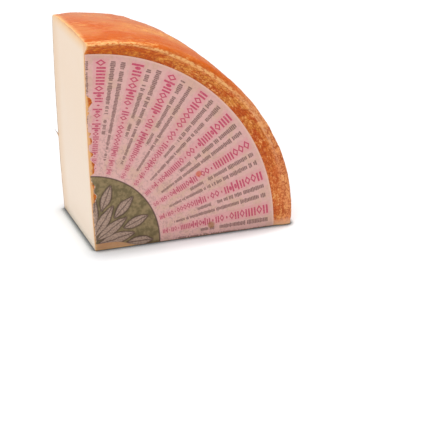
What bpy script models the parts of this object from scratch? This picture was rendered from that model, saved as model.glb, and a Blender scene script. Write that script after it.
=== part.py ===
"""A quarter of a wheel of hard mountain cheese, standing on a cut face, with a label on its flat side.

Metres, +Z up. The origin is the middle of the cut face that it rests on. The wheel's own axis runs
along Y, the labelled side faces -Y, and the other cut face, which shows, faces -X.
"""

import math

import bmesh
import bpy
from mathutils import Vector, noise

# The wheel.
WHEEL_RADIUS = 0.1401
WHEEL_THICKNESS = 0.0882
REST_CENTRE = Vector((0.0730, 0.0441))
RIM_AXIS = Vector((0.0048, 0.0109))
CUT_LEAN = math.radians(0.81)
CUT_BOW = 0.0012
CUT_BOW_FADE = 8

# The wheel isn't quite round: it sways in and out. Its foot, which bears the weight, spreads, and there
# the lip flattens as well.
WHEEL_SWAY = 0.0005
SWAY_PERIOD = math.radians(52.0)
SWAY_CENTRE = math.radians(68.0)
FOOT_START = math.radians(25.0)
FOOT_SPREAD = 0.0013
FOOT_LIP_LOWERING = 0.0022

# The raised lip round the labelled side, and the gentle belly of the rim. From the upright cut down,
# the lip's crest drifts inwards and, further on, the lip gets lower, each over its own angles.
LIP_HEIGHT = 0.0070
LIP_LOWERING = 0.0034
LIP_LOWERING_START = math.radians(52.0)
LIP_LOWERING_END = math.radians(4.0)
LIP_DRIFT = 0.0030
LIP_DRIFT_START = math.radians(84.0)
LIP_DRIFT_END = math.radians(58.0)
LIP_CREST_RADIUS = 0.1382
LIP_WIDTH = 0.0074
SHOULDER_RADIUS = 0.1396
SHOULDER_SHARE = 0.4  # how far forward the shoulder lies, as a share of the lip's height
BELLY_DEPTH = 0.034
BACK_RADIUS = 0.1378
BACK_ROUNDING = 0.0045

# The rind's relief.
RELIEF_HEIGHT = 0.0005
RELIEF_WAVELENGTH = 0.016
CRAG_HEIGHT = 0.0003
CRAG_WAVELENGTH = 0.006
LIP_WOBBLE = 0.0006
LIP_WOBBLE_WAVELENGTH = 0.030
BACK_SWELL = 0.0008
BACK_SWELL_WAVELENGTH = 0.045
BACK_SWELL_FADE = 3.0

# How finely the surface is divided: round the wheel, out from the corner, and from front to back.
ANGLE_STEPS = 64
FLAT_RINGS = 7
LIP_RINGS = 8
CREST_STEPS = 4
RIM_STEPS = 13
BACK_STEPS = 3
RINGS = FLAT_RINGS + LIP_RINGS
STEPS = CREST_STEPS + RIM_STEPS + BACK_STEPS

# The label.
LABEL_RADIUS = 0.138
LABEL_CENTRE = Vector((-0.00565, 0.00327))
LABEL_THICKNESS = 0.00035
TOUCH_GAP = 0.0003
LABEL_LOWER_STEP = 0.004
LABEL_ARC_STEP = 0.003
LABEL_TORN_STEP = 0.0012
LABEL_CUT_MARGIN = 0.0003
LABEL_RAGGEDNESS = 0.0007
LABEL_RAGGED_WAVELENGTH = 0.003
LABEL_TEAR_SWAY = 0.0022
LABEL_TEAR_WAVELENGTH = 0.0045
LABEL_FLOOR_MARGIN = 0.0006
LABEL_CORNER_STRIP = 0.0046
LABEL_CORNER_LENGTH = 0.031
LABEL_CORNER_BLUNTNESS = 4

# Each bite out of the torn edge: its height up the cut, half its length and its depth.
LABEL_BITES = (
    (0.1080, 0.0058, 0.0036),
    (0.1010, 0.0035, 0.0014),
    (0.0855, 0.0026, 0.0020),
    (0.0805, 0.0032, 0.0026),
    (0.0705, 0.0036, 0.0028),
    (0.0630, 0.0050, 0.0036),
    (0.0585, 0.0036, 0.0026),
    (0.0460, 0.0055, 0.0024),
    (0.0385, 0.0060, 0.0032),
)

RIND_COLOUR = (0.80, 0.29, 0.07, 1.0)
RIND_ROUGHNESS = 0.55
PAPER_COLOUR = (0.68, 0.40, 0.38, 1.0)
PAPER_ROUGHNESS = 0.5
SHARP_ANGLE = math.radians(40.0)


def clear_scene():
    for item in list(bpy.data.objects):
        bpy.data.objects.remove(item)


def smooth_step(value):
    value = min(max(value, 0.0), 1.0)
    return value * value * (3.0 - 2.0 * value)


def direction(angle):
    """The unit direction in the XZ plane, from the quarter's corner out to the rim."""
    return Vector((math.cos(angle), math.sin(angle)))


def reach(angle, rim_radius):
    """How far a circle about the wheel's own axis lies from the corner, since the cuts miss that axis."""
    along = direction(angle).dot(RIM_AXIS)
    return along + math.sqrt(along * along - RIM_AXIS.length_squared + rim_radius * rim_radius)


def fall(angle, start, end):
    """0 above the start angle, 1 below the end angle and smooth between."""
    return smooth_step((start - angle) / (start - end))


def out_of_round(angle):
    """How much further out the rim lies here than on a round wheel."""
    sway = WHEEL_SWAY * math.cos((angle - SWAY_CENTRE) * 2.0 * math.pi / SWAY_PERIOD)
    return sway + FOOT_SPREAD * fall(angle, FOOT_START, 0.0)


def lip_height(angle):
    lowering = LIP_LOWERING * fall(angle, LIP_LOWERING_START, LIP_LOWERING_END)
    return LIP_HEIGHT - lowering - FOOT_LIP_LOWERING * fall(angle, FOOT_START, 0.0)


def crest_radius(angle):
    """Radius of the lip's crest, which lies further in along the lower half."""
    return LIP_CREST_RADIUS - LIP_DRIFT * fall(angle, LIP_DRIFT_START, LIP_DRIFT_END) + out_of_round(angle)


def lip_point(angle, ring):
    """Radius and depth of one ring of the lip's inner slope, from its foot out to its crest."""
    share = ring / LIP_RINGS
    return crest_radius(angle) - LIP_WIDTH * (1.0 - share), -lip_height(angle) * smooth_step(share)


def crest_point(angle, share):
    """Over the crest to the shoulder, as a quarter of an ellipse."""
    turn = share * math.pi / 2.0
    crest = crest_radius(angle)
    height = lip_height(angle)
    radius = crest + (SHOULDER_RADIUS + out_of_round(angle) - crest) * math.sin(turn)
    return radius, -height * (SHOULDER_SHARE + (1.0 - SHOULDER_SHARE) * math.cos(turn))


def belly_point(angle, share):
    """Across the rim, which is fullest at the belly and falls away to both sides."""
    start = -SHOULDER_SHARE * lip_height(angle)
    end = WHEEL_THICKNESS - BACK_ROUNDING
    depth = start + (end - start) * share
    fullest = WHEEL_RADIUS + out_of_round(angle)
    if depth < BELLY_DEPTH:
        away = (BELLY_DEPTH - depth) / (BELLY_DEPTH - start)
        return fullest - (WHEEL_RADIUS - SHOULDER_RADIUS) * away ** 2, depth
    away = (depth - BELLY_DEPTH) / (end - BELLY_DEPTH)
    return fullest - (WHEEL_RADIUS - BACK_RADIUS) * away ** 2, depth


def back_edge_point(angle, share):
    """Round the edge between the rim and the back."""
    turn = share * math.pi / 2.0
    radius = BACK_RADIUS + out_of_round(angle) - BACK_ROUNDING * (1.0 - math.cos(turn))
    return radius, WHEEL_THICKNESS - BACK_ROUNDING * (1.0 - math.sin(turn))


def rim_point(angle, step):
    """Radius and depth along the outside, from the lip's crest to the back."""
    if step <= CREST_STEPS:
        return crest_point(angle, step / CREST_STEPS)
    if step <= CREST_STEPS + RIM_STEPS:
        return belly_point(angle, (step - CREST_STEPS) / RIM_STEPS)
    return back_edge_point(angle, (step - CREST_STEPS - RIM_STEPS) / BACK_STEPS)


def corner_point(angle, distance, depth, bow):
    """A point of the solid from its angle and distance about the corner and its depth from the front."""
    flat = direction(angle) * distance
    return Vector((flat.x - bow - REST_CENTRE.x, depth - REST_CENTRE.y, flat.y))


def cut_angle(turn):
    return turn * (math.pi / 2.0 + CUT_LEAN)


def bow_at(turn, out):
    """The upright cut bulges a little at mid-height; the bulge dies away inside the quarter."""
    return CUT_BOW * 4.0 * out * (1.0 - out) * turn ** CUT_BOW_FADE


def relief(point, amount):
    """Broad swells and finer crags of the rind, the same on every build."""
    broad = noise.noise(point / RELIEF_WAVELENGTH) * RELIEF_HEIGHT
    fine = noise.noise(point / CRAG_WAVELENGTH + Vector((7.0, 3.0, 1.0))) * CRAG_HEIGHT
    return (broad + fine) * amount


def lip_wobble(angle):
    """The crest of the lip isn't quite even along its length."""
    along = angle * LIP_CREST_RADIUS / LIP_WOBBLE_WAVELENGTH
    return noise.noise(Vector((along, 0.5, 2.5))) * LIP_WOBBLE


def ring_reach(angle, ring):
    """Distance from the corner and depth of a ring of the flat side or of the lip."""
    if ring <= FLAT_RINGS:
        return reach(angle, crest_radius(angle) - LIP_WIDTH) * ring / FLAT_RINGS, 0.0
    radius, depth = lip_point(angle, ring - FLAT_RINGS)
    depth += lip_wobble(angle) * smooth_step(-depth / lip_height(angle))
    return reach(angle, radius), depth


def back_reach(angle, ring):
    """The same for the back, which swells a little between its edges."""
    distance = reach(angle, BACK_RADIUS + out_of_round(angle) - BACK_ROUNDING) * ring / RINGS
    flat = direction(angle) * distance
    out = ring / RINGS
    inside = smooth_step(BACK_SWELL_FADE * (1.0 - out)) * smooth_step(BACK_SWELL_FADE * out)
    swell = noise.noise(Vector((flat.x, WHEEL_THICKNESS, flat.y)) / BACK_SWELL_WAVELENGTH)
    return distance, WHEEL_THICKNESS + swell * BACK_SWELL * inside


def rim_reach(angle, step):
    """The same for a point of the rim, with its relief."""
    radius, depth = rim_point(angle, step)
    raised = smooth_step(step / CREST_STEPS)
    spot = Vector((math.cos(angle) * radius, depth, math.sin(angle) * radius))
    wobble = lip_wobble(angle) * (1.0 - raised)
    return reach(angle, radius) + relief(spot, raised), depth + wobble


def block_point(turn, ring, step):
    """A point of the quarter's surface or of a cut face, blended from the two sides and the rim."""
    angle = cut_angle(turn)
    across = step / STEPS
    front, front_depth = ring_reach(angle, ring)
    out = front / reach(angle, crest_radius(angle))
    back, back_depth = back_reach(angle, ring)
    rim, rim_depth = rim_reach(angle, step)
    crest, crest_depth = rim_reach(angle, 0)
    edge, edge_depth = rim_reach(angle, STEPS)
    distance = front + (back - front) * across
    distance += (rim - crest - (edge - crest) * across) * out
    depth = front_depth + (back_depth - front_depth) * across
    depth += (rim_depth - crest_depth - (edge_depth - crest_depth) * across) * out
    return corner_point(angle, distance, depth, bow_at(turn, out))


def add_cheese():
    """One solid: a block of cells bent into the quarter, of which only the outer skin is made."""
    mesh = bmesh.new()
    corners = {}

    def corner(i, ring, step):
        key = (i if ring else 0, ring, step)
        if key not in corners:
            corners[key] = mesh.verts.new(block_point(i / ANGLE_STEPS, ring, step))
        return corners[key]

    def cell(*keys):
        """A face, less any corner that the quarter's edge brings together."""
        mesh.faces.new(dict.fromkeys(corner(*key) for key in keys))

    for i in range(ANGLE_STEPS):
        for ring in range(RINGS):
            for step in (0, STEPS):
                cell((i, ring, step), (i, ring + 1, step), (i + 1, ring + 1, step), (i + 1, ring, step))
        for step in range(STEPS):
            cell((i, RINGS, step), (i, RINGS, step + 1), (i + 1, RINGS, step + 1), (i + 1, RINGS, step))
    for i in (0, ANGLE_STEPS):
        for ring in range(RINGS):
            for step in range(STEPS):
                cell((i, ring, step), (i, ring, step + 1), (i, ring + 1, step + 1), (i, ring + 1, step))

    bmesh.ops.recalc_face_normals(mesh, faces=mesh.faces[:])
    return finish_object("cheese", mesh, RIND_COLOUR, RIND_ROUGHNESS)


def torn_edge(height):
    """How far the label's torn edge lies inside the upright cut at one height."""
    edge = LABEL_CUT_MARGIN
    place = height + noise.noise(Vector((height / LABEL_TEAR_WAVELENGTH, 2.0, 0.0))) * LABEL_TEAR_SWAY
    for middle, half_length, bite in LABEL_BITES:
        edge += bite * smooth_step(1.0 - abs(place - middle) / half_length)
    rough = noise.noise(Vector((height / LABEL_RAGGED_WAVELENGTH, 4.0, 0.0)))
    return edge + abs(rough) * LABEL_RAGGEDNESS


def cut_line(height):
    """Where the upright cut meets the labelled side at one height."""
    out = height / reach(math.pi / 2.0, crest_radius(math.pi / 2.0))
    return -height * math.tan(CUT_LEAN) - bow_at(1.0, out)


def lower_edge(distance):
    """The label's lower edge, which leaves a strip of rind bare near the corner."""
    bare = 1.0 - smooth_step(distance / LABEL_CORNER_LENGTH) ** LABEL_CORNER_BLUNTNESS
    return LABEL_FLOOR_MARGIN + LABEL_CORNER_STRIP * bare


def spread(start, end, step):
    """Values from start up to but not at end, evenly spaced by about step."""
    count = max(1, round(abs(end - start) / step))
    return [start + (end - start) * i / count for i in range(count)]


def label_outline():
    """The outline in the XZ plane: along the lower edge, up the arc and down the torn side."""
    end_angle = math.asin((LABEL_FLOOR_MARGIN - LABEL_CENTRE.y) / LABEL_RADIUS)
    top = LABEL_CENTRE.y + math.sqrt(LABEL_RADIUS ** 2 - LABEL_CENTRE.x ** 2)
    start_angle = math.acos((cut_line(top) + torn_edge(top) - LABEL_CENTRE.x) / LABEL_RADIUS)
    end = LABEL_CENTRE.x + LABEL_RADIUS * math.cos(end_angle)
    corner_height = lower_edge(0.0)
    start = cut_line(corner_height) + torn_edge(corner_height)
    points = []
    for x in spread(start, end, LABEL_LOWER_STEP):
        points.append(Vector((x, lower_edge(x))))
    for along in spread(end_angle * LABEL_RADIUS, start_angle * LABEL_RADIUS, LABEL_ARC_STEP):
        points.append(LABEL_CENTRE + direction(along / LABEL_RADIUS) * LABEL_RADIUS)
    for z in spread(top, corner_height, LABEL_TORN_STEP):
        points.append(Vector((cut_line(z) + torn_edge(z), z)))
    return points


def add_label():
    """The paper is a plate just clear of the flat side."""
    mesh = bmesh.new()
    back = -TOUCH_GAP - REST_CENTRE.y
    rim = [mesh.verts.new((p.x - REST_CENTRE.x, back, p.y)) for p in label_outline()]
    sheet = mesh.faces.new(rim)
    grown = bmesh.ops.extrude_face_region(mesh, geom=[sheet])
    front = [item for item in grown["geom"] if isinstance(item, bmesh.types.BMVert)]
    bmesh.ops.translate(mesh, verts=front, vec=(0.0, -LABEL_THICKNESS, 0.0))
    bmesh.ops.recalc_face_normals(mesh, faces=mesh.faces[:])
    return finish_object("paper_label", mesh, PAPER_COLOUR, PAPER_ROUGHNESS)


def finish_object(name, mesh, colour, roughness):
    data = bpy.data.meshes.new(name)
    mesh.to_mesh(data)
    mesh.free()
    data.shade_smooth()
    data.set_sharp_from_angle(angle=SHARP_ANGLE)
    data.materials.append(plain_material(name, colour, roughness))
    item = bpy.data.objects.new(name, data)
    bpy.context.scene.collection.objects.link(item)
    return item


def plain_material(name, colour, roughness):
    material = bpy.data.materials.new(name + "_finish")
    material.use_nodes = True
    shader = material.node_tree.nodes["Principled BSDF"]
    shader.inputs["Base Color"].default_value = colour
    shader.inputs["Roughness"].default_value = roughness
    shader.inputs["Metallic"].default_value = 0.0
    return material


clear_scene()
add_cheese()
add_label()
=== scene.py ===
import math
import random

import bpy
import numpy as np
from mathutils import Matrix, Vector, noise


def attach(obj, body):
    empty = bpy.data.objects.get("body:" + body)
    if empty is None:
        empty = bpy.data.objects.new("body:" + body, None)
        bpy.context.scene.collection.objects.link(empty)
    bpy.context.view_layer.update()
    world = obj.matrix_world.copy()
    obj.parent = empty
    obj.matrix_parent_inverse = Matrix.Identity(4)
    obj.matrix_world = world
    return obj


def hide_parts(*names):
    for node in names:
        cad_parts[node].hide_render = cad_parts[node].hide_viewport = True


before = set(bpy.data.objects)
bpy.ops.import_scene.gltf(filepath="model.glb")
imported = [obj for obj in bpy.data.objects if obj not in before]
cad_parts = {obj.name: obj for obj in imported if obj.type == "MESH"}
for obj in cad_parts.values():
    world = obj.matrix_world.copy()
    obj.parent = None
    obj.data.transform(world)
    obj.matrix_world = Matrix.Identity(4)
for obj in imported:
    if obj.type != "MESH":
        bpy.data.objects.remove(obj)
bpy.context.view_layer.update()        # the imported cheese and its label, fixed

print("frame loaded:", sorted(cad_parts))


# The wheel that the quarter was cut from, in metres, as the frame has it.
# Depth runs back from the labelled side, and the corner is where the two cuts meet.
wheel = {
    "radius": 0.1401,
    "thickness": 0.0882,
    "restX": 0.0730,          # from the corner to the frame's origin
    "restY": 0.0441,
    "axisX": 0.0048,          # the wheel's own axis, from the corner
    "axisZ": 0.0109,
    "lean": math.radians(0.81),
    "bow": 0.0012,
    "bowFade": 8,
    "sway": 0.0005,           # how far it is from round
    "swayPeriod": math.radians(52),
    "swayCentre": math.radians(68),
    "footStart": math.radians(25),
    "footSpread": 0.0013,
    "footLowering": 0.0022,   # the lip flattens there too
    "lipHeight": 0.0070,      # at the upright cut
    "lipLowering": 0.0034,    # how much lower the lip is at the foot
    "loweringStart": math.radians(52),
    "loweringEnd": math.radians(4),
    "lipWidth": 0.0074,
    "lipCrest": 0.1382,       # radius of the lip's crest at the upright cut
    "lipDrift": 0.0030,       # how much further in it lies along the lower half
    "driftStart": math.radians(84),
    "driftEnd": math.radians(58),
    "shoulderRadius": 0.1396,
    "shoulderShare": 0.4,     # how far forward the shoulder lies, of the lip's height
    "bellyDepth": 0.034,
    "backRadius": 0.1378,
    "backRounding": 0.0045,
}
fullTurn = math.pi / 2 + wheel["lean"]


# Shader arithmetic

# One socket of a material, so that shader maths reads as arithmetic.
class Value:
    def __init__(self, finish, socket):
        self.finish = finish
        self.socket = socket

    def maths(self, operation, *others):
        sockets = dict(enumerate((self,) + others))
        return self.finish.node("ShaderNodeMath", {"operation": operation}, sockets)

    def flipped(self, operation, other):
        return self.finish.node("ShaderNodeMath", {"operation": operation}, {0: other, 1: self})

    def __add__(self, other):
        return self.maths("ADD", other)

    def __radd__(self, other):
        return self.maths("ADD", other)

    def __sub__(self, other):
        return self.maths("SUBTRACT", other)

    def __rsub__(self, other):
        return self.flipped("SUBTRACT", other)

    def __mul__(self, other):
        return self.maths("MULTIPLY", other)

    def __rmul__(self, other):
        return self.maths("MULTIPLY", other)

    def __truediv__(self, other):
        return self.maths("DIVIDE", other)

    def __rtruediv__(self, other):
        return self.flipped("DIVIDE", other)

    def __pow__(self, other):
        return self.maths("POWER", other)

    def __abs__(self):
        return self.maths("ABSOLUTE")

    def lower(self, other):
        return self.maths("MINIMUM", other)

    def higher(self, other):
        return self.maths("MAXIMUM", other)

    # 0 at low, 1 at high and smooth between, also where low is the higher number
    def rise(self, low, high):
        if low > high:
            return 1 - self.rise(high, low)
        inputs = {"Value": self, "From Min": low, "From Max": high}
        return self.finish.node("ShaderNodeMapRange", {"interpolation_type": "SMOOTHSTEP"}, inputs)

    # 1 within half of the middle, fading over soft
    def band(self, middle, half, soft):
        return abs(self - middle).rise(half + soft, half)


# A material and the nodes that make it.
class Finish:
    def __init__(self, name):
        self.material = bpy.data.materials.new(name)
        self.material.use_nodes = True
        self.tree = self.material.node_tree
        self.shader = self.tree.nodes["Principled BSDF"]
        self.place = self.node("ShaderNodeTexCoord", output="Object")
        axes = self.node("ShaderNodeSeparateXYZ", {}, {0: self.place}).socket.node
        self.x, self.y, self.z = (Value(self, axes.outputs[i]) for i in range(3))

    def node(self, kind, settings=None, inputs=None, output=0):
        item = self.tree.nodes.new(kind)
        for key, setting in (settings or {}).items():
            setattr(item, key, setting)
        for key, entry in (inputs or {}).items():
            if isinstance(entry, Value):
                self.tree.links.new(entry.socket, item.inputs[key])
            else:
                item.inputs[key].default_value = entry
        return Value(self, item.outputs[output])

    # Colours: the first where share is 0, the second where it is 1.
    def mix(self, share, first, second):
        inputs = {0: share, 6: first, 7: second}
        return self.node("ShaderNodeMix", {"data_type": "RGBA"}, inputs, 2)

    def vector(self, x, y, z):
        return self.node("ShaderNodeCombineXYZ", {}, {0: x, 1: y, 2: z})

    # Noise from 0 to 1 whose lumps are about size metres across.
    def grain(self, place, size, detail=2.0, rough=0.5, twist=0.0):
        inputs = {"Vector": place, "Scale": 1 / size, "Detail": detail, "Roughness": rough}
        inputs["Distortion"] = twist
        return self.node("ShaderNodeTexNoise", {}, inputs)

    # Crackle: 0 on the lines between cells about size metres across, rising inside them.
    def crackle(self, place, size, sway):
        bent = self.node("ShaderNodeTexNoise", {}, {"Vector": place, "Scale": 1 / size}, "Color")
        push = self.node("ShaderNodeVectorMath", {"operation": "SCALE"}, {0: bent, "Scale": sway})
        moved = self.node("ShaderNodeVectorMath", {"operation": "ADD"}, {0: place, 1: push})
        inputs = {"Vector": moved, "Scale": 1 / size}
        return self.node("ShaderNodeTexVoronoi", {"feature": "DISTANCE_TO_EDGE"}, inputs)

    # A random value from 0 to 1 for each whole-numbered place.
    def chance(self, x, y, z):
        return self.node("ShaderNodeTexWhiteNoise", {}, {0: self.vector(x, y, z)})

    # One of two numbers, by a share that is 0 or 1.
    def pick(self, share, first, second):
        return self.node("ShaderNodeMix", {}, {0: share, 2: first, 3: second})

    def set(self, **sockets):
        for name, entry in sockets.items():
            socket = self.shader.inputs[name.replace("_", " ")]
            if isinstance(entry, Value):
                self.tree.links.new(entry.socket, socket)
            else:
                socket.default_value = entry

    def bump(self, height, distance, strength=1.0):
        inputs = {"Height": height, "Distance": distance, "Strength": strength}
        self.set(Normal=self.node("ShaderNodeBump", {}, inputs))


# A colour from its 0 to 255 display values.
def tone(red, green, blue):
    shares = [c / 255 for c in (red, green, blue)]
    return tuple(c / 12.92 if c <= 0.04045 else ((c + 0.055) / 1.055) ** 2.4 for c in shares) + (1.0,)


# Selecting and shaping

def selectOnly(*pieces):
    if bpy.context.object and bpy.context.object.mode != "OBJECT":
        bpy.ops.object.mode_set(mode="OBJECT")
    bpy.ops.object.select_all(action="DESELECT")
    for piece in pieces:
        piece.select_set(True)
    bpy.context.view_layer.objects.active = pieces[0]


def addPrimitive(name, adder, **sizes):
    bpy.ops.object.select_all(action="DESELECT")
    adder(**sizes)
    piece = bpy.context.object
    piece.name = piece.data.name = name
    return piece


def readPoints(piece):
    flat = np.empty(len(piece.data.vertices) * 3)
    piece.data.vertices.foreach_get("co", flat)
    return flat.reshape(-1, 3)


def writePoints(piece, points):
    piece.data.vertices.foreach_set("co", points.ravel())
    piece.data.update()


def smooth(value):
    value = np.clip(value, 0.0, 1.0)
    return value * value * (3.0 - 2.0 * value)


# Noise from -1 to 1 at each point.
def lumps(points, size, shift=(0.0, 0.0, 0.0)):
    moved = points / size + np.array(shift)
    return np.array([noise.noise(Vector(p)) for p in moved])


# The camera and the light

view = {
    "lens": 122.53,
    "sensor": 36.0,
    "place": (-0.31195, -0.98889, 0.41549),
    "yaw": -19.43,
    "pitch": 21.91,
    "roll": -0.49,
}


def addCamera():
    camera = bpy.data.objects.new("camera", bpy.data.cameras.new("camera"))
    bpy.context.scene.collection.objects.link(camera)
    camera.data.lens = view["lens"]
    camera.data.sensor_width = view["sensor"]
    turn = Matrix.Rotation(math.radians(view["yaw"]), 4, "Z")
    turn = turn @ Matrix.Rotation(math.radians(90 - view["pitch"]), 4, "X")
    turn = turn @ Matrix.Rotation(math.radians(view["roll"]), 4, "Z")
    camera.matrix_world = Matrix.Translation(view["place"]) @ turn
    bpy.context.scene.camera = camera


studio = {
    "sky": (1.0, 1.0, 1.0),
    "skyStrength": 0.50,
    "floorSize": 8.0,
    "floorTone": (0.88, 0.92, 0.96, 1.0),
    "contactShadowTone": (0.20, 0.22, 0.23, 1.0),
    "contactReach": 0.0065,   # how far the darkest painted shadow spreads from what touches the floor
    "contactShare": (0.48, 0.95),  # how open the floor lies: dark below the first, clear above the second
    "glow": 0.7,              # keeps the far floor white
    "glowReach": (0.22, 1.3),
    "keyPlace": (-0.55, -0.75, 1.35),
    "keySize": 0.9,
    "keyPower": 8.0,
    "keyColour": (0.98, 0.93, 0.875),
    "topPlace": (-0.025, 0.012, 1.5),
    "topSize": 0.22,
    "topPower": 13.5,
    "topColour": (0.985, 0.945, 0.895),
}


def addLamp(name, place, size, power, colour):
    lamp = bpy.data.lights.new(name, "AREA")
    lamp.size = size
    lamp.energy = power
    lamp.color = colour
    item = bpy.data.objects.new(name, lamp)
    item.location = place
    item.rotation_euler = (-Vector(place)).to_track_quat("-Z", "Y").to_euler()
    bpy.context.scene.collection.objects.link(item)


def addStudio():
    world = bpy.data.worlds.new("studio")
    world.use_nodes = True
    sky = world.node_tree.nodes["Background"]
    sky.inputs["Color"].default_value = studio["sky"] + (1.0,)
    sky.inputs["Strength"].default_value = studio["skyStrength"]
    bpy.context.scene.world = world
    bpy.context.scene.view_settings.view_transform = "Standard"
    floor = addPrimitive("floor", bpy.ops.mesh.primitive_plane_add, size=studio["floorSize"])
    finish = Finish("floorFinish")
    # Painted contact shadow: the floor's colour turns dark where little around it is open, next to what
    # stands on it.
    openness = finish.node("ShaderNodeAmbientOcclusion", {"samples": 8},
                           {"Distance": studio["contactReach"]}, "AO")
    clear = openness.rise(*studio["contactShare"])
    finish.set(Base_Color=finish.mix(clear, studio["contactShadowTone"], studio["floorTone"]), Roughness=1.0)
    finish.shader.inputs["Specular IOR Level"].default_value = 0.0
    distance = (finish.x * finish.x + finish.y * finish.y) ** 0.5
    glow = finish.mix(distance.rise(*studio["glowReach"]), tone(0, 0, 0), tone(255, 255, 255))
    finish.set(Emission_Color=glow, Emission_Strength=studio["glow"])
    floor.data.materials.append(finish.material)
    addLamp("key", studio["keyPlace"], studio["keySize"], studio["keyPower"], studio["keyColour"])
    addLamp("top", studio["topPlace"], studio["topSize"], studio["topPower"], studio["topColour"])
    print("studio: a floor and two lamps")


# The cheese

cheese = {
    "turnSteps": 220,         # round the quarter
    "outSteps": 72,           # from the corner to the rim
    "acrossSteps": 96,        # from the labelled side to the back
    "flatShare": 0.62,        # how much of the steps out the flat side has
    "borderStart": 0.122,     # where the finer steps of the border begin
    "crestShare": 0.08,
    "backShare": 0.05,
    "swell": 0.0005,
    "swellSize": 0.016,
    "crag": 0.0003,
    "cragSize": 0.006,
    "lipWobble": 0.0006,
    "lipWobbleSize": 0.030,
    "backSwell": 0.0008,
    "backSwellSize": 0.045,
    "grainHeight": 0.00016,
    "grainSize": 0.0017,
    "creaseHeight": 0.00022,
    "creaseAngle": 0.012 / 0.14,   # creases are long round the wheel and narrow across it
    "creaseWidth": 0.0022,
    "creaseDepth": 0.002,     # behind the labelled side, where they begin
    "creaseFade": 0.01,
    "groundRadius": 0.131,    # inside this the grain is only pressed in, so that the label lies flat
    "groundFade": 0.002,
    "sharpEdge": math.radians(50),
    "edgeLift": 0.0003,       # how far the lower edges stand off the floor
    "edgeLiftWidth": 0.004,
    "floorStart": 0.0001,     # the grain fades out towards the floor
    "floorFade": 0.001,
    "labelledDepth": 0.01,    # in front of this a point lies on the labelled side
    "leastRadius": 0.05,      # keeps reach real in the flat side's steps
    "weld": 0.0002,
}


shred = {
    "height": 0.0535,         # up the cut, where it starts
    "length": 0.0088,
    "thick": 0.0006,
    "thin": 0.00014,
    "curl": 0.0033,
    "fromBack": 0.0005,
    "roughness": 0.0003,
    "roughSize": 0.0012,
}


# How far a circle about the wheel's own axis lies from the corner.
def reach(angle, radius):
    along = np.cos(angle) * wheel["axisX"] + np.sin(angle) * wheel["axisZ"]
    offset = wheel["axisX"] ** 2 + wheel["axisZ"] ** 2
    return along + np.sqrt(along * along - offset + radius * radius)


# 0 above the start angle, 1 below the end angle.
def fall(angle, start, end):
    return smooth((start - angle) / (start - end))


def outOfRound(angle):
    sway = np.cos((angle - wheel["swayCentre"]) * 2 * math.pi / wheel["swayPeriod"]) * wheel["sway"]
    return sway + wheel["footSpread"] * fall(angle, wheel["footStart"], 0.0)


def lipHeight(angle):
    lowering = wheel["lipLowering"] * fall(angle, wheel["loweringStart"], wheel["loweringEnd"])
    return wheel["lipHeight"] - lowering - wheel["footLowering"] * fall(angle, wheel["footStart"], 0.0)


def crestRadius(angle):
    drifted = fall(angle, wheel["driftStart"], wheel["driftEnd"])
    return wheel["lipCrest"] - wheel["lipDrift"] * drifted + outOfRound(angle)


def lipWobble(angle):
    along = angle * wheel["lipCrest"] / cheese["lipWobbleSize"]
    return np.array([noise.noise(Vector((a, 0.5, 2.5))) for a in along]) * cheese["lipWobble"]


# The labelled side: distance from the corner and depth, from the corner out to the lip's crest.
def outline(angle, out):
    flat = cheese["flatShare"]
    near = reach(angle, cheese["borderStart"]) * out / flat
    share = (out - flat) / (1 - flat)
    crest = crestRadius(angle)
    radius = cheese["borderStart"] + (crest - cheese["borderStart"]) * share
    lip = smooth((radius - crest) / wheel["lipWidth"] + 1)
    depth = -lipHeight(angle) * lip + lipWobble(angle) * smooth(lip)
    far = out > flat
    distance = np.where(far, reach(angle, np.maximum(radius, cheese["leastRadius"])), near)
    return distance, np.where(far, depth, 0.0)


# Radius and depth along the outside, from the lip's crest to the back.
def rimOutline(angle, across):
    first, last = cheese["crestShare"], 1 - cheese["backShare"]
    turn = np.clip(across / first, 0, 1) * math.pi / 2
    crest, height, spread = crestRadius(angle), lipHeight(angle), outOfRound(angle)
    overCrest = crest + (wheel["shoulderRadius"] + spread - crest) * np.sin(turn)
    shoulder = wheel["shoulderShare"]
    crestDepth = -height * (shoulder + (1 - shoulder) * np.cos(turn))
    start, end = -shoulder * height, wheel["thickness"] - wheel["backRounding"]
    share = (across - first) / (last - first)
    depth = start + (end - start) * share
    ahead = (wheel["bellyDepth"] - depth) / (wheel["bellyDepth"] - start)
    behind = (depth - wheel["bellyDepth"]) / (end - wheel["bellyDepth"])
    front = wheel["radius"] - (wheel["radius"] - wheel["shoulderRadius"]) * ahead ** 2
    rear = wheel["radius"] - (wheel["radius"] - wheel["backRadius"]) * behind ** 2
    radius = np.where(depth < wheel["bellyDepth"], front, rear) + spread
    corner = np.clip((across - last) / (1 - last), 0, 1) * math.pi / 2
    edgeRadius = wheel["backRadius"] + spread - wheel["backRounding"] * (1 - np.cos(corner))
    edgeDepth = wheel["thickness"] - wheel["backRounding"] * (1 - np.sin(corner))
    radius = np.where(across < first, overCrest, np.where(across > last, edgeRadius, radius))
    depth = np.where(across < first, crestDepth, np.where(across > last, edgeDepth, depth))
    return radius, depth


# Swells and crags of the rind.
def relief(points):
    broad = lumps(points, cheese["swellSize"]) * cheese["swell"]
    return broad + lumps(points, cheese["cragSize"], (7.0, 3.0, 1.0)) * cheese["crag"]


def rimReach(angle, across):
    radius, depth = rimOutline(angle, across)
    raised = smooth(across / cheese["crestShare"])
    spots = np.stack([np.cos(angle) * radius, depth, np.sin(angle) * radius], 1)
    return reach(angle, radius) + relief(spots) * raised, depth + lipWobble(angle) * (1 - raised)


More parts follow.
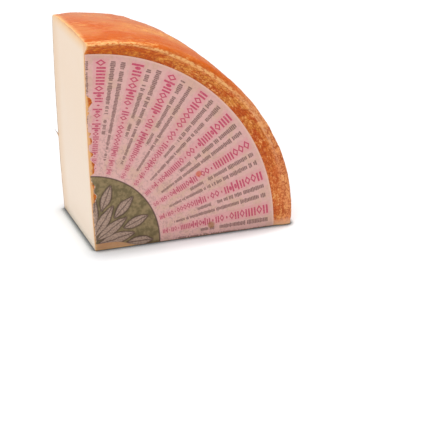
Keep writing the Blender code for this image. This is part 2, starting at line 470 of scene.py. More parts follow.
def backReach(angle, out):
    flat = cheese["flatShare"]
    edge = wheel["backRadius"] + outOfRound(angle) - wheel["backRounding"]
    near = reach(angle, cheese["borderStart"]) * out / flat
    radius = cheese["borderStart"] + (edge - cheese["borderStart"]) * (out - flat) / (1 - flat)
    distance = np.where(out > flat, reach(angle, np.maximum(radius, cheese["leastRadius"])), near)
    share = distance / reach(angle, edge)
    inside = smooth(3 * (1 - share)) * smooth(3 * share)
    level = np.full_like(angle, wheel["thickness"])
    spots = np.stack([np.cos(angle) * distance, level, np.sin(angle) * distance], 1)
    return distance, level + lumps(spots, cheese["backSwellSize"]) * cheese["backSwell"] * inside


# Bends a unit block, turned about its edge, into the quarter.
def bendBlock(points):
    angle = np.arctan2(points[:, 2], points[:, 0])
    angle = np.where(angle < -0.5, 0.0, angle)
    out = np.clip(np.hypot(points[:, 0], points[:, 2]), 0, 1)
    angle = np.where(out < 1e-6, 0.0, angle)
    across = np.clip(points[:, 1], 0, 1)
    front, frontDepth = outline(angle, out)
    back, backDepth = backReach(angle, out)
    rim, rimDepth = rimReach(angle, across)
    crest, crestDepth = rimReach(angle, np.zeros_like(across))
    edge, edgeDepth = rimReach(angle, np.ones_like(across))
    share = front / reach(angle, crestRadius(angle))
    distance = front + (back - front) * across
    distance += (rim - crest - (edge - crest) * across) * share
    depth = frontDepth + (backDepth - frontDepth) * across
    depth += (rimDepth - crestDepth - (edgeDepth - crestDepth) * across) * share
    turn = angle / fullTurn
    bow = wheel["bow"] * 4 * share * (1 - share) * turn ** wheel["bowFade"]
    x = np.cos(angle) * distance - bow - wheel["restX"]
    z = np.sin(angle) * distance
    inwards = np.minimum(np.minimum(distance, depth), wheel["thickness"] - depth)
    lift = smooth(1 - inwards / cheese["edgeLiftWidth"]) * cheese["edgeLift"]
    z += lift * smooth(1 - z / (1.5 * cheese["edgeLiftWidth"]))
    return np.stack([x, depth - wheel["restY"], z], 1)


# A unit block turned through the quarter: two cut faces and the skin swept between them.
def sweepBlock():
    steps = cheese["outSteps"], cheese["acrossSteps"]
    piece = addPrimitive("cheeseBody", bpy.ops.mesh.primitive_grid_add, x_subdivisions=steps[0],
                         y_subdivisions=steps[1], size=1.0, location=(0.5, 0.5, 0.0))
    bpy.ops.object.transform_apply(location=True)
    section = len(piece.data.vertices)
    bpy.ops.object.mode_set(mode="EDIT")
    bpy.ops.mesh.select_all(action="SELECT")
    bpy.ops.mesh.duplicate()
    bpy.ops.transform.rotate(value=fullTurn, orient_axis="Y", center_override=(0.0, 0.0, 0.0))
    bpy.ops.mesh.select_all(action="DESELECT")
    bpy.ops.object.mode_set(mode="OBJECT")
    points = readPoints(piece)
    for edge in piece.data.edges:        # the edges round the lower cut
        a, b = edge.vertices
        if max(a, b) < section:
            edge.select = any(abs(points[a][k] - side) < 1e-6 and abs(points[b][k] - side) < 1e-6
                              for k in (0, 1) for side in (0.0, 1.0))
    bpy.ops.object.mode_set(mode="EDIT")
    bpy.ops.mesh.select_mode(type="EDGE")
    bpy.ops.mesh.spin(steps=cheese["turnSteps"], angle=fullTurn, center=(0, 0, 0), axis=(0, 1, 0))
    bpy.ops.mesh.select_all(action="SELECT")
    bpy.ops.mesh.remove_doubles(threshold=cheese["weld"])
    bpy.ops.mesh.normals_make_consistent(inside=False)
    bpy.ops.object.mode_set(mode="OBJECT")
    return piece


# A sliver of rind that the knife left curling off the back edge of the upright cut.
def addShred(material):
    piece = addPrimitive("shred", bpy.ops.mesh.primitive_cone_add, vertices=8, radius1=shred["thick"],
                         radius2=shred["thin"], depth=shred["length"], location=(0, 0, shred["length"] / 2))
    bpy.ops.object.transform_apply(location=True)
    bpy.ops.object.mode_set(mode="EDIT")
    bpy.ops.mesh.select_all(action="SELECT")
    bpy.ops.mesh.subdivide(number_cuts=5)
    bpy.ops.object.mode_set(mode="OBJECT")
    points = readPoints(piece)
    along = points[:, 2] / shred["length"]
    rough = lumps(points, shred["roughSize"]) * shred["roughness"]
    points[:, 0] += rough - shred["curl"] * along ** 2
    points[:, 1] = points[:, 1] * 0.5 + rough
    height = np.full(len(points), shred["height"])
    points[:, 0] += cutLine(height) + wheel["bow"] * 0.5 - wheel["restX"]
    points[:, 1] += wheel["thickness"] - shred["fromBack"] - wheel["restY"]
    points[:, 2] += shred["height"]
    writePoints(piece, points)
    piece.data.materials.append(material)
    return piece


def addCheese():
    piece = sweepBlock()
    for finish in (rindFinish(), pasteFinish()):
        piece.data.materials.append(finish.material)
    lower, upright = Vector((0, 0, -1)), Vector((-math.cos(wheel["lean"]), 0, -math.sin(wheel["lean"])))
    for face in piece.data.polygons:
        face.material_index = int(max(face.normal.dot(lower), face.normal.dot(upright)) > 0.9)
    writePoints(piece, bendBlock(readPoints(piece)))
    roughenRind(piece)
    selectOnly(piece, addShred(piece.data.materials[0]))
    bpy.ops.object.join()
    bpy.ops.object.shade_smooth_by_angle(angle=cheese["sharpEdge"])
    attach(piece, "root")
    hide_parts("cheese")
    print("cheese:", len(piece.data.polygons), "faces")


# The rind's own grain, pressed in by its cloth, and the slight unevenness of the cuts.
def roughenRind(piece):
    points = readPoints(piece)
    normals = np.empty(len(points) * 3)
    piece.data.vertices.foreach_get("normal", normals)
    normals = normals.reshape(-1, 3)
    onRind = np.zeros(len(points))
    for face in piece.data.polygons:
        if face.material_index == 0:
            onRind[list(face.vertices)] = 1
    depth = points[:, 1] + wheel["restY"]
    grain = lumps(points, cheese["grainSize"]) * cheese["grainHeight"]
    angle = np.arctan2(points[:, 2] - wheel["axisZ"], points[:, 0] + wheel["restX"] - wheel["axisX"])
    around = np.stack([angle / cheese["creaseAngle"], points[:, 1] / cheese["creaseWidth"],
                       np.zeros(len(points))], 1)
    crease = lumps(around, 1.0) * cheese["creaseHeight"]
    crease *= smooth((depth - cheese["creaseDepth"]) / cheese["creaseFade"])
    radius = np.hypot(points[:, 2] - wheel["axisZ"], points[:, 0] + wheel["restX"] - wheel["axisX"])
    flat = smooth((cheese["groundRadius"] - radius) / cheese["groundFade"])
    flat *= depth < cheese["labelledDepth"]
    shift = (grain + crease) * onRind
    shift = np.where(flat > 0, shift * (1 - flat) - np.abs(grain) * flat * onRind, shift)
    shift *= smooth((points[:, 2] - cheese["floorStart"]) / cheese["floorFade"])
    writePoints(piece, points + normals * shift[:, None])


# The rind and the paste

# Pairs are places in metres: where a change of colour begins and where it is complete. Arc is the
# length round the rim, from level with the wheel's own axis up to the upright cut.
rind = {
    "rim": tone(202, 96, 34),
    "rimPale": tone(209, 126, 70),
    "rimBack": tone(198, 136, 106),
    "rimDeep": tone(194, 78, 16),
    "rimTan": tone(206, 128, 66),
    "shoulder": tone(201, 92, 0),
    "blush": tone(214, 122, 82),
    "scuff": tone(234, 172, 98),
    "vein": tone(170, 66, 14),
    # crest and the pale tone below it: a painted highlight along the lip's crest; the crest tone also
    # colours flecks on the rim
    "crest": tone(237, 177, 112),
    "paleHighlight": tone(236, 180, 132),
    "border": tone(198, 88, 18),
    "borderGold": tone(220, 146, 62),
    "borderSalmon": tone(240, 161, 104),
    "slope": tone(194, 92, 4),
    "fleck": tone(244, 180, 110),
    "fleckGold": tone(244, 172, 56),
    "foot": tone(244, 184, 144),
    "strip": tone(196, 152, 112),
    "cutEdge": tone(240, 190, 130),
    "dry": tone(140, 104, 72),
    "baseShade": tone(128, 98, 74),
    # the rim
    "frontDepth": (0.024, 0.001),
    "backDepth": (0.030, 0.080),
    "blushDepth": (0.006, 0.022),
    "scuffArc": (0.162, 0.012, 0.022),    # a cluster of scuffs: middle, half its size, soft edge
    "scuffDepth": (0.041, 0.005, 0.012),
    "wornSheenArc": (0.125, 0.075),            # where the lip's outside is pale: partly rubbed, partly a painted highlight
    "wornSheenDepth": (0.005, -0.002),
    "grainyArc": (0.170, 0.060),
    # the flat sides and the lip's inner slope
    "backSide": (0.0842, 0.0866),
    "upperArc": (0.130, 0.205),
    "middleArc": (0.050, 0.090),
    "outerRadius": (0.1310, 0.1375),
    "outerArc": (0.075, 0.105),
    "lowerArc": (0.060, 0.020),
    "innerRadius": (0.1315, 0.1265),
    "innerArc": (0.030, 0.060),
    "footHeight": (0.0072, 0.0),
    "footArc": (0.014, 0.008),
    # the crest's painted highlight
    "crestRadius": 0.1384,                # at the upright cut
    "crestDrift": 0.0028,                 # how far it has moved in by the lower half
    "crestInset": 0.0006,
    "crestWidth": (0.0006, 0.0011),       # half of it, and its soft edge
    "crestDepth": (-0.0014, -0.0030),
    "driftArc": (0.205, 0.145),
    "insideCrest": (-0.0002, 0.0012),
    "insideDepth": (0.02, 0.0),
    "roundedArc": (0.105, 0.060),         # lower down, the border's look runs over the crest
    "roundedDepth": (0.014, 0.001),
    "paleArc": (0.115, 0.070),
    "faintArc": (0.030, 0.070),
    "fullArc": (0.095, 0.130),
    # the edges
    "stripHeight": (0.0066, 0.0046),      # bare rind below the label
    "stripDepth": (0.004, 0.002),
    "stripLength": (0.036, 0.028),
    "cutRun": (0.0040, 0.0),              # the pale run-in over the rim at the upright cut
    "cutRunDepth": (-0.001, 0.006),
    "cutWidth": (0.0015, 0.0),
    "dryReach": (-0.0014, -0.0020),       # the sliver's end
    "baseShadeHeight": (0.0007, 0.00035),      # painted shade: it darkens where it touches what it stands on
    # sizes of the patterns
    "fineSize": 0.0011,
    "gritSize": 0.0015,
    "dashSize": 0.0017,
    "streakSize": 0.0022,
    "cellSize": 0.0026,
    "cellSway": 0.0016,
    "mottleSize": 0.0042,
    "clusterSize": 0.0085,
    "patchSize": 0.016,
    "broadSize": 0.024,
    # how far these lines stray from even
    "outerSway": 0.006,
    "footSway": 0.010,
    "crestSway": 0.0016,
    "runSway": 0.004,
    "cutSway": 0.0026,
    "roughness": 0.46,
    "gloss": 0.22,
    "bump": 0.0005,
}


# Depth, radius and length round the wheel, from the object's own coordinates.
def wheelPlace(finish):
    depth = finish.y + wheel["restY"]
    fromX = finish.x + (wheel["restX"] - wheel["axisX"])
    fromZ = finish.z - wheel["axisZ"]
    radius = (fromX * fromX + fromZ * fromZ) ** 0.5
    arc = fromZ.maths("ARCTAN2", fromX) * wheel["radius"]
    return depth, radius, arc


# The patterns that the parts of the rind share. The less of the arc they take, the longer they lie.
def layPatterns(f):
    f.depth, f.radius, f.arc = wheelPlace(f)
    f.fine = f.grain(f.vector(f.arc * 0.45, f.depth, f.radius), rind["fineSize"], 3.0, 0.6)
    f.streak = f.grain(f.vector(f.arc * 0.16, f.depth, f.radius), rind["streakSize"], 4.0, 0.65)
    f.ridged = f.grain(f.vector(f.arc * 0.5, f.depth, f.radius), rind["gritSize"], 3.0, 0.65, 0.8)
    f.mottle = f.grain(f.place, rind["mottleSize"], 3.0, 0.6)
    f.uneven = f.mottle - 0.5
    cells = f.crackle(f.place, rind["cellSize"], rind["cellSway"])
    f.veined = cells.rise(0.16, 0.02) * f.mottle.rise(0.62, 0.44)


# The rim, deeper in colour towards its front edge, streaked and scuffed along its length.
def rimColour(f):
    broad = f.grain(f.place, rind["broadSize"], 2.0, 0.5)
    patch = f.grain(f.vector(f.arc * 0.5, f.depth, 0.3), rind["patchSize"], 2.0, 0.5)
    dashes = f.grain(f.vector(f.arc * 0.28, f.depth, 0.7), rind["dashSize"], 3.0, 0.6)
    front = f.depth.rise(*rind["frontDepth"]) * f.mottle.rise(0.20, 0.60)
    blushed = f.mottle.rise(0.50, 0.64) * f.depth.rise(*rind["blushDepth"])
    colour = f.mix(broad.rise(0.36, 0.64), rind["rim"], rind["rimPale"])
    colour = f.mix(f.depth.rise(*rind["backDepth"]) * 0.8, colour, rind["rimBack"])
    colour = f.mix(f.streak.rise(0.50, 0.66) * 0.55, colour, rind["rimDeep"])
    colour = f.mix(f.streak.rise(0.50, 0.36) * f.mottle.rise(0.40, 0.60) * 0.6, colour, rind["rimTan"])
    colour = f.mix(front * 0.92, colour, rind["shoulder"])
    colour = f.mix(f.fine.rise(0.48, 0.30) * 0.35, colour, rind["rimDeep"])
    colour = f.mix(blushed * 0.6, colour, rind["blush"])
    colour = f.mix(front * dashes.rise(0.46, 0.36) * 0.4, colour, rind["vein"])
    cluster = f.arc.band(*rind["scuffArc"]) * f.depth.band(*rind["scuffDepth"])
    scuffed = patch.rise(0.48, 0.62) * dashes.rise(0.54, 0.66) + cluster * dashes.rise(0.44, 0.56)
    colour = f.mix((scuffed * f.fine.rise(0.32, 0.52)).lower(1.0) * 0.85, colour, rind["scuff"])
    # Paler on the lip's outside lower down: partly rubbed, partly a painted edge highlight.
    wornAndSheen = f.arc.rise(*rind["wornSheenArc"]) * f.depth.rise(*rind["wornSheenDepth"])
    colour = f.mix(wornAndSheen * (0.35 + 0.65 * f.fine.rise(0.36, 0.56)) * 0.6, colour, rind["paleHighlight"])
    grainy = 0.12 + 0.88 * f.arc.rise(*rind["grainyArc"])
    colour = f.mix(f.veined * grainy * 0.45, colour, rind["vein"])
    return f.mix(f.ridged.rise(0.52, 0.66) * grainy * 0.5, colour, rind["crest"])


# The flat sides and the lip's inner slope, smoother and darker near the upright cut.
def borderColour(f, back):
    upper = f.arc.rise(*rind["upperArc"])
    clusters = f.grain(f.vector(f.arc * 0.6, f.depth, f.radius), rind["clusterSize"], 3.0, 0.6)
    golden = clusters.rise(0.44, 0.56) * (0.3 + 0.7 * f.arc.rise(*rind["middleArc"]))
    colour = f.mix(golden * (1.0 - 0.6 * back), rind["border"], rind["borderGold"])
    outer = (f.radius + f.uneven * rind["outerSway"]).rise(*rind["outerRadius"])
    salmon = outer * (0.55 + 0.30 * f.arc.rise(*rind["outerArc"]) - 0.55 * upper)
    colour = f.mix(salmon, colour, rind["borderSalmon"])
    colour = f.mix(f.arc.rise(*rind["lowerArc"]) * 0.15, colour, rind["borderSalmon"])
    colour = f.mix(upper * 0.75, colour, rind["slope"])
    inner = f.radius.rise(*rind["innerRadius"]) * f.arc.rise(*rind["innerArc"])
    colour = f.mix((f.veined * 0.85).higher(inner * 0.3), colour, rind["vein"])
    colour = f.mix(f.ridged.rise(0.48, 0.38) * 0.7, colour, rind["vein"])
    flecked = f.ridged.rise(0.52, 0.66) * (0.35 + 0.65 * f.mottle.rise(0.40, 0.56)) * (1.0 - 0.4 * upper)
    colour = f.mix(flecked * 0.85, colour, f.mix(upper, rind["fleck"], rind["fleckGold"]))
    footed = (f.z + f.uneven * rind["footSway"]).rise(*rind["footHeight"])
    return f.mix(footed * f.arc.rise(*rind["footArc"]) * 0.9, colour, rind["foot"])


# The border and the rim meet along the crest, where a pale line is painted as a highlight, fainter lower
# down.
def joinAtCrest(f, rim):
    back = f.depth.rise(*rind["backSide"])
    drift = f.arc.rise(*rind["driftArc"])
    crestAt = rind["crestRadius"] - drift * rind["crestDrift"] + f.uneven * rind["crestSway"]
    side = (crestAt - f.radius).rise(*rind["insideCrest"]) * f.depth.rise(*rind["insideDepth"])
    side = side.higher(f.arc.rise(*rind["roundedArc"]) * f.depth.rise(*rind["roundedDepth"]))
    colour = f.mix(side.higher(back), rim, borderColour(f, back))
    # The painted highlight: a pale band along the crest, broken up and fainter towards the foot.
    crest = f.radius.band(crestAt - rind["crestInset"] * drift, *rind["crestWidth"])
    crest = crest * f.depth.rise(*rind["crestDepth"]) * (0.15 + 0.85 * f.fine.rise(0.40, 0.56))
    crest = crest * (0.25 + 0.75 * f.arc.rise(*rind["faintArc"]))
    crestHighlightTone = f.mix(f.arc.rise(*rind["paleArc"]), rind["crest"], rind["paleHighlight"])
    return f.mix(crest * (0.5 + 0.5 * f.arc.rise(*rind["fullArc"])), colour, crestHighlightTone)


# Tan where it lay bare under the label, pale where the knife went through, and a painted shade along the
# floor.
def edgeColour(f, colour):
    corner = f.x + wheel["restX"]
    upright = corner * math.cos(wheel["lean"]) + f.z * math.sin(wheel["lean"])
    strip = f.z.rise(*rind["stripHeight"]) * f.depth.rise(*rind["stripDepth"])
    strip = strip * corner.rise(*rind["stripLength"])
    colour = f.mix(strip * (0.6 + 0.4 * f.fine), colour, rind["strip"])
    run = (upright + f.uneven * rind["runSway"]).rise(*rind["cutRun"]) * f.depth.rise(*rind["cutRunDepth"])
    colour = f.mix(run * 0.55, colour, rind["cutEdge"])
    cut = f.z.lower(upright) + f.uneven * rind["cutSway"]
    colour = f.mix(cut.rise(*rind["cutWidth"]) * 0.8, colour, rind["cutEdge"])
    colour = f.mix(upright.rise(*rind["dryReach"]), colour, rind["dry"])
    # Painted shade: darker in a thin band along the floor.
    return f.mix(f.z.rise(*rind["baseShadeHeight"]) * 0.6, colour, rind["baseShade"])


def rindFinish():
    f = Finish("rindFinish")
    layPatterns(f)
    colour = joinAtCrest(f, rimColour(f))
    f.set(Base_Color=edgeColour(f, colour), Roughness=rind["roughness"] + 0.2 * f.mottle)
    f.shader.inputs["Specular IOR Level"].default_value = rind["gloss"]
    f.bump(f.fine + 0.6 * f.mottle + 0.5 * f.streak, rind["bump"], 0.9)
    return f


# Pairs are distances in metres: where a colour begins and where it is complete.
paste = {
    "inside": tone(247, 227, 207),
    "warm": tone(246, 221, 196),
    # foot: painted light, paler near the floor in place of light bounced up from it
    "foot": tone(255, 240, 222),
    "nearBack": tone(238, 204, 168),
    "nearRim": tone(246, 200, 146),
    "golden": tone(246, 190, 124),
    "rindLine": tone(222, 150, 92),
    "backLine": tone(176, 140, 108),
    "warmHeight": (0.02, 0.12),
    "footHeight": (0.012, 0.0),
    "backRun": (0.022, 0.004),
    "rimRun": (0.0105, 0.0015),
    "frontRun": (0.0050, 0.0008),
    "goldenRun": (0.0046, 0.0014),
    "rimLineRun": (0.0020, 0.0005),
    "frontLineRun": (0.0009, 0.0002),
    "backLineRun": (0.0030, 0.0008),
    "wobble": 0.0022,             # how far the runs stray from even
    "wobbleSize": 0.005,
    "softSize": 0.03,
    "knifeSize": 0.0016,          # across the knife's marks
    "knifeStretch": 0.08,         # the less, the longer the marks
    "grainSize": 0.003,
    "roughness": 0.48,
    "gloss": 0.35,
    "bump": 0.0002,
}


def pasteFinish():
    f = Finish("pasteFinish")
    depth, radius, _ = wheelPlace(f)
    wobble = (f.grain(f.place, paste["wobbleSize"], 3.0, 0.6) - 0.5) * paste["wobble"]
    toRim = wheel["radius"] - radius + wobble
    toBack = wheel["thickness"] - depth + wobble
    toFront = depth + wobble
    soft = f.grain(f.place, paste["softSize"], 2.0)
    stretch = paste["knifeStretch"]
    knife = f.grain(f.vector(f.x * stretch, f.y, f.z * stretch), paste["knifeSize"], 2.0)
    warm = f.z.rise(*paste["warmHeight"]) * (0.6 + 0.8 * soft)
    colour = f.mix(warm, paste["inside"], paste["warm"])
    # Painted light: paler on the lowest part of the cut, standing in for light bounced up from the floor.
    colour = f.mix(f.z.rise(*paste["footHeight"]) * 0.85, colour, paste["foot"])
    for distance, run, share, nearer in ((toBack, "backRun", 0.6, "nearBack"),
                                         (toRim, "rimRun", 0.85, "nearRim"),
                                         (toFront, "frontRun", 0.4, "nearRim"),
                                         (toRim, "goldenRun", 0.7, "golden"),
                                         (toRim, "rimLineRun", 0.8, "rindLine"),
                                         (toFront, "frontLineRun", 0.35, "rindLine"),
                                         (toBack, "backLineRun", 0.75, "backLine")):
        colour = f.mix(distance.rise(*paste[run]) * share, colour, paste[nearer])
    f.set(Base_Color=colour, Roughness=paste["roughness"])
    f.shader.inputs["Specular IOR Level"].default_value = paste["gloss"]
    f.bump(f.grain(f.place, paste["grainSize"], 3.0) + 0.5 * knife, paste["bump"], 0.6)
    return f


# The label

label = {
    "x": -0.00565,
    "z": 0.00327,
    "radius": 0.138,
    "thickness": 0.00016,
    "gap": 0.00003,
    "cutMargin": 0.0003,
    "raggedness": 0.0007,
    "raggedSize": 0.003,
    "frayHeight": 0.0013,
    "fraySize": 0.0008,
    "tearSway": 0.0022,
    "tearSize": 0.0045,
    "biteEdge": 0.0010,       # how deep a bite is before its edge frays fully
    "floorMargin": 0.0006,
    "cornerStrip": 0.0046,
    "cornerLength": 0.031,
    "cornerBluntness": 4,
    # each bite's height up the cut, half its length and its depth
    "bites": ((0.1080, 0.0058, 0.0036), (0.1010, 0.0035, 0.0014), (0.0855, 0.0026, 0.0020),
              (0.0805, 0.0032, 0.0026), (0.0705, 0.0036, 0.0028), (0.0630, 0.0050, 0.0036),
              (0.0585, 0.0036, 0.0026), (0.0460, 0.0055, 0.0024), (0.0385, 0.0060, 0.0032)),
    "scrapsPerBite": 1,
    "scrapSize": (0.0002, 0.0005),
    "scrapSeed": 5,
    "acrossSteps": 110,
    "upSteps": 320,
    "wrinkle": 0.00006,
    "wrinkleSize": 0.011,
    "creaseSize": 0.004,
    "sharpEdge": math.radians(40),
    "weld": 0.00002,
}


def noiseAlong(heights, size, row):
    return np.array([noise.noise(Vector((h / size, row, 0.0))) for h in heights])


def tornEdge(height):
    edge = np.full_like(height, label["cutMargin"])
    place = height + noiseAlong(height, label["tearSize"], 2.0) * label["tearSway"]
    for middle, half, bite in label["bites"]:
        edge += bite * smooth(1 - np.abs(place - middle) / half)
    bitten = smooth((edge - label["cutMargin"]) / label["biteEdge"])
    fray = noiseAlong(height, label["fraySize"], 9.0) + noiseAlong(height, 2.6 * label["fraySize"], 7.0)
    edge += np.abs(noiseAlong(height, label["raggedSize"], 4.0)) * label["raggedness"]
    return edge + np.abs(fray) * label["frayHeight"] * (0.25 + 0.75 * bitten)


def cutLine(height):
    upright = np.full_like(height, math.pi / 2)
    share = height / reach(upright, crestRadius(upright))
    return -height * math.tan(wheel["lean"]) - wheel["bow"] * 4 * share * (1 - share)


# Bits of paper that stayed on the rind in the bites, each a flat ragged scrap. The first bite and
# the last are bare.
def addScraps():
    draw = random.Random(label["scrapSeed"])
    scraps = []
    for middle, half, bite in label["bites"][1:-1]:
        for _ in range(label["scrapsPerBite"]):
            height = middle + draw.uniform(-0.8, 0.8) * half
            size = draw.uniform(*label["scrapSize"])
            left = cutLine(np.array([height]))[0] + size + draw.uniform(0.0003, 0.6 * bite)
            scrap = addPrimitive("scrap", bpy.ops.mesh.primitive_circle_add, vertices=9, radius=size,
                                 fill_type="NGON", rotation=(math.pi / 2, 0, 0),
                                 location=(left - wheel["restX"], -wheel["restY"] - label["gap"], height))
            bpy.ops.object.transform_apply(location=True, rotation=True)
            points = readPoints(scrap)
            centre = points.mean(axis=0)
            shrink = np.array([draw.uniform(0.35, 1.0) for _ in points])
            points = centre + (points - centre) * shrink[:, None] * np.array([0.8, 1.0, 1.5])
            writePoints(scrap, points)
            scraps.append(scrap)
    return scraps


def addLabel():
    piece = addPrimitive("paperLabel", bpy.ops.mesh.primitive_grid_add, x_subdivisions=label["acrossSteps"],
                         y_subdivisions=label["upSteps"], size=1.0, location=(0.5, 0.5, 0.0))
    bpy.ops.object.transform_apply(location=True)
    unit = readPoints(piece)
    across, up = unit[:, 0], np.sin(unit[:, 1] * math.pi / 2)
    top = label["z"] + math.sqrt(label["radius"] ** 2 - label["x"] ** 2)
    height = label["floorMargin"] + (top - label["floorMargin"]) * up
    left = cutLine(height) + tornEdge(height)
    right = label["x"] + np.sqrt(np.maximum(label["radius"] ** 2 - (height - label["z"]) ** 2, 0))
    right = np.maximum(right, left + 1e-5)
    x = left + (right - left) * across
    bare = 1 - smooth(x / label["cornerLength"]) ** label["cornerBluntness"]
    height += label["cornerStrip"] * bare * (1 - up) ** 3
    spots = np.stack([x, np.zeros_like(x), height], 1)
    wrinkle = lumps(spots, label["wrinkleSize"]) + 0.5 * lumps(spots, label["creaseSize"])
    wrinkle *= label["wrinkle"]
    y = -wheel["restY"] - label["gap"] - np.maximum(wrinkle, -label["gap"] * 0.5)
    writePoints(piece, np.stack([x - wheel["restX"], y, height], 1))
    torn = piece.data.attributes.new("fromTear", "FLOAT", "POINT")
    torn.data.foreach_set("value", x - left)
    selectOnly(piece)
    bpy.ops.object.mode_set(mode="EDIT")
    bpy.ops.mesh.select_all(action="SELECT")
    bpy.ops.mesh.remove_doubles(threshold=label["weld"])
    bpy.ops.object.mode_set(mode="OBJECT")
    selectOnly(piece, *addScraps())
    bpy.ops.object.join()
    thick = piece.modifiers.new("thickness", "SOLIDIFY")
    thick.thickness = label["thickness"]
    thick.offset = 1.0
    bpy.ops.object.modifier_apply(modifier=thick.name)
    bpy.ops.object.shade_smooth_by_angle(angle=label["sharpEdge"])
    piece.data.materials.append(labelFinish().material)
    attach(piece, "root")
    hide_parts("paper_label")
    print("label:", len(piece.data.polygons), "faces")


# Places out from the middle are shares of the label's radius.
labelPrint = {
    "rows": 32,               # all round the whole label
    "firstRow": 4.9,          # degrees above level
    "redHalf": 1.95,
    "redPitch": 0.036,
    "redOuter": 0.975,
    "redInner": 0.395,
    "redGaps": (7, 10, 19, 22),  # cells with only a dot
    "brownOuter": 0.968,
    "brownPitch": 0.0098,
    # each thin row's middle in degrees from the red row, and where it starts and ends
    "brownLines": ((-3.7, 1.0, 0.70), (4.5, 1.0, 0.462), (-3.7, 0.675, 0.595)),
    "fadedInner": (0.39, 0.40),   # a pinker ground under the red rows
    "fadedOuter": (0.985, 0.975),
    "unprinted": (0.989, 0.996),
    "roundel": 0.379,
    "leafTurn": 22.5,         # degrees between leaves
    # each ring of leaves: where it starts, their length and half width, and its turn in leaves
    "leafRings": ((0.20, 0.15, 0.026, 0.5), (0.05, 0.21, 0.030, 0.0)),
    "leafWarp": 0.02,
    # sizes in metres
    "fibreWidth": (0.0009, 0.0001),
    "fibreSway": 0.0008,
    "warpSize": 0.007,
    "shadeSize": 0.005,
    "fineSize": 0.0009,
    "mottleSize": 0.010,
    "crumpleSize": 0.0022,
    "bump": 0.0002,
    "roughness": 0.5,
    "gloss": 0.3,
    "paper": tone(218, 172, 166),
    "paperTan": tone(208, 170, 148),
    "paperGrey": tone(186, 144, 140),
    "pink": tone(218, 146, 154),
    "red": tone(190, 52, 92),
    "redDull": tone(174, 76, 96),
    "brown": tone(112, 80, 74),
    "fibre": tone(234, 196, 176),
    "olive": tone(142, 122, 86),
    "oliveDark": tone(104, 90, 58),
    "leaf": tone(176, 148, 132),
    "dark": tone(74, 52, 44),
}


# Marks on the printed paper: where they lie from the corner, their width and their colour.
stains = (
    (0.0762, 0.0474, 0.0022, tone(200, 84, 30)),
    (0.0849, 0.0077, 0.0025, tone(150, 100, 36)),
)
stainSway = 0.002


def labelFinish():
    f = Finish("labelFinish")
    fromX = f.x + (wheel["restX"] - label["x"])
    fromZ = f.z - label["z"]
    radius = (fromX * fromX + fromZ * fromZ) ** 0.5 / label["radius"]
    degrees = fromZ.maths("ARCTAN2", fromX) * (180 / math.pi)
    pitch = 360 / labelPrint["rows"]
    sector = (degrees - labelPrint["firstRow"]) / pitch + 0.5
    row = sector.maths("FLOOR")
    off = (sector - row - 0.5) * pitch
    fine = f.grain(f.place, labelPrint["fineSize"], 3.0)
    mottle = f.grain(f.place, labelPrint["mottleSize"], 4.0, 0.6)
    crumple = f.grain(f.place, labelPrint["crumpleSize"], 3.0, 0.6, 1.0)
    inwards = radius.rise(0.95, 0.50)
    colour = f.mix(mottle.rise(0.46, 0.62) * 0.7, labelPrint["paper"], labelPrint["paperTan"])
    colour = f.mix(crumple.rise(0.48, 0.62) * (0.25 + 0.45 * inwards), colour, labelPrint["paperGrey"])
    faded = radius.rise(*labelPrint["fadedInner"]) * radius.rise(*labelPrint["fadedOuter"])
    faded = faded * off.band(0.0, labelPrint["redHalf"], 0.6)
    colour = f.mix(faded * 0.45, colour, labelPrint["pink"])
    ink = 0.35 + 0.65 * fine.rise(0.26, 0.48)
    colour = f.mix(brownRows(f, radius, row, off) * ink * 0.85, colour, labelPrint["brown"])
    red = f.mix(inwards * 0.6, labelPrint["red"], labelPrint["redDull"])
    colour = f.mix(redRows(f, radius, row, off) * ink * 0.92, colour, red)
    inside = radius.rise(labelPrint["roundel"] + 0.001, labelPrint["roundel"] - 0.001)
    colour = f.mix(inside, colour, roundelColour(f, radius, degrees, fine))
    colour = f.mix(radius.rise(*labelPrint["unprinted"]) * 0.6, colour, labelPrint["fibre"])
    ring = radius.band(labelPrint["roundel"], 0.002, 0.003)
    colour = f.mix(ring * 0.8, colour, labelPrint["dark"])
    for x, z, width, stainTone in stains:
        spot = f.vector(f.x + (wheel["restX"] - x), 0.0, f.z - z)
        far = f.node("ShaderNodeVectorMath", {"operation": "LENGTH"}, {0: spot}, "Value")
        stained = (far + (mottle - 0.5) * stainSway).rise(1.25 * width, 0.625 * width)
        colour = f.mix(stained * 0.7, colour, stainTone)
    torn = f.node("ShaderNodeAttribute", {"attribute_name": "fromTear"}, {}, "Fac")
    fibrous = (torn + (fine - 0.5) * labelPrint["fibreSway"]).rise(*labelPrint["fibreWidth"])
    colour = f.mix(fibrous * crumple.rise(0.42, 0.58) * 0.8, colour, labelPrint["fibre"])
    f.set(Base_Color=colour, Roughness=labelPrint["roughness"])
    f.shader.inputs["Specular IOR Level"].default_value = labelPrint["gloss"]
    f.bump(fine + mottle, labelPrint["bump"], 0.6)
    return f


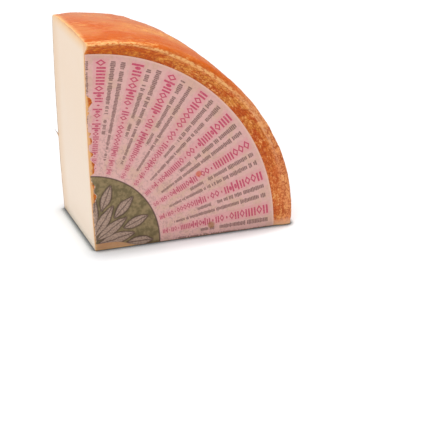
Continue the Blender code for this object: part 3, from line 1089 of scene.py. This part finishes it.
# Big print: rows of lozenges, bars and dots that shrink towards the middle.
def redRows(f, radius, row, off):
    along = (labelPrint["redOuter"] / radius).maths("LOGARITHM", math.e) / labelPrint["redPitch"]
    cell = along.maths("FLOOR")
    sideways = (along - cell - 0.5) * 2
    upward = off / labelPrint["redHalf"]
    kind = f.chance(cell, row, 3.0)
    lozenge = (abs(sideways) + abs(upward) * 1.2).band(0.74, 0.20, 0.08)
    bars = abs(abs(sideways) - 0.50).rise(0.34, 0.24) * abs(upward + 0.12).rise(0.78, 0.72)
    tall = abs(sideways + 0.45).rise(0.36, 0.26) * abs(upward).rise(1.0, 0.94)
    level = upward + 0.1
    dot = ((sideways - 0.45) * (sideways - 0.45) + level * level).rise(0.30, 0.18)
    shape = f.pick(kind.rise(0.449, 0.451), lozenge, bars)
    shape = f.pick(kind.rise(0.799, 0.801), shape, (tall + dot).lower(1.0))
    point = (sideways * sideways + level * level).rise(0.12, 0.06)
    for gap in labelPrint["redGaps"]:
        shape = f.pick(abs(cell - gap).rise(0.6, 0.4), shape, point)
    inner = labelPrint["redInner"]
    return shape * radius.rise(inner, inner + 0.003) * along.rise(0.0, 0.02)


# Small print: thin rows of strokes between the big ones.
def brownRows(f, radius, row, off):
    along = (labelPrint["brownOuter"] / radius).maths("LOGARITHM", math.e) / labelPrint["brownPitch"]
    cell = along.maths("FLOOR")
    step = (along - cell).band(0.5, 0.32, 0.16)
    marks = 0
    for middle, outer, inner in labelPrint["brownLines"]:
        height = f.chance(cell, row, middle)
        line = (0.52 + 0.36 * height - abs(off - middle)).rise(-0.08, 0.10)
        span = radius.rise(inner, inner + 0.004) * radius.rise(outer, outer - 0.004)
        marks = marks + line * step * height.rise(0.10, 0.12) * span
    return marks.lower(1.0) * along.rise(0.0, 0.1)


# A plain rosette on olive: two rings of leaves, the outer ones in the gaps of the inner.
def roundelColour(f, radius, degrees, fine):
    warp = (f.grain(f.place, labelPrint["warpSize"], 2.0) - 0.5) * labelPrint["leafWarp"]
    shade = f.grain(f.place, labelPrint["shadeSize"], 4.0, 0.7).rise(0.38, 0.62)
    colour = f.mix(shade, labelPrint["olive"], labelPrint["oliveDark"])
    for start, length, half, turned in labelPrint["leafRings"]:
        leaf = degrees / labelPrint["leafTurn"] + turned
        side = (leaf - leaf.maths("FLOOR") - 0.5) * math.radians(labelPrint["leafTurn"])
        out = radius + warp
        across = abs(out * side.maths("SINE") + warp * 0.5)
        span = ((out - start) / length).lower(1.0).higher(0.0)
        width = (span * math.pi).maths("SINE") * half
        inside = (width - across).rise(0.0, 0.003)
        edge = abs(width - across).rise(0.007, 0.002) * span.rise(0.0, 0.05) * span.rise(1.0, 0.95)
        rib = across.rise(0.005, 0.001) * inside
        colour = f.mix(inside * 0.9, colour, labelPrint["leaf"])
        colour = f.mix(inside * fine.rise(0.46, 0.60) * 0.45, colour, labelPrint["dark"])
        colour = f.mix((edge + rib).lower(1.0) * 0.7, colour, labelPrint["dark"])
    return colour


addCamera()
addStudio()
addCheese()
addLabel()
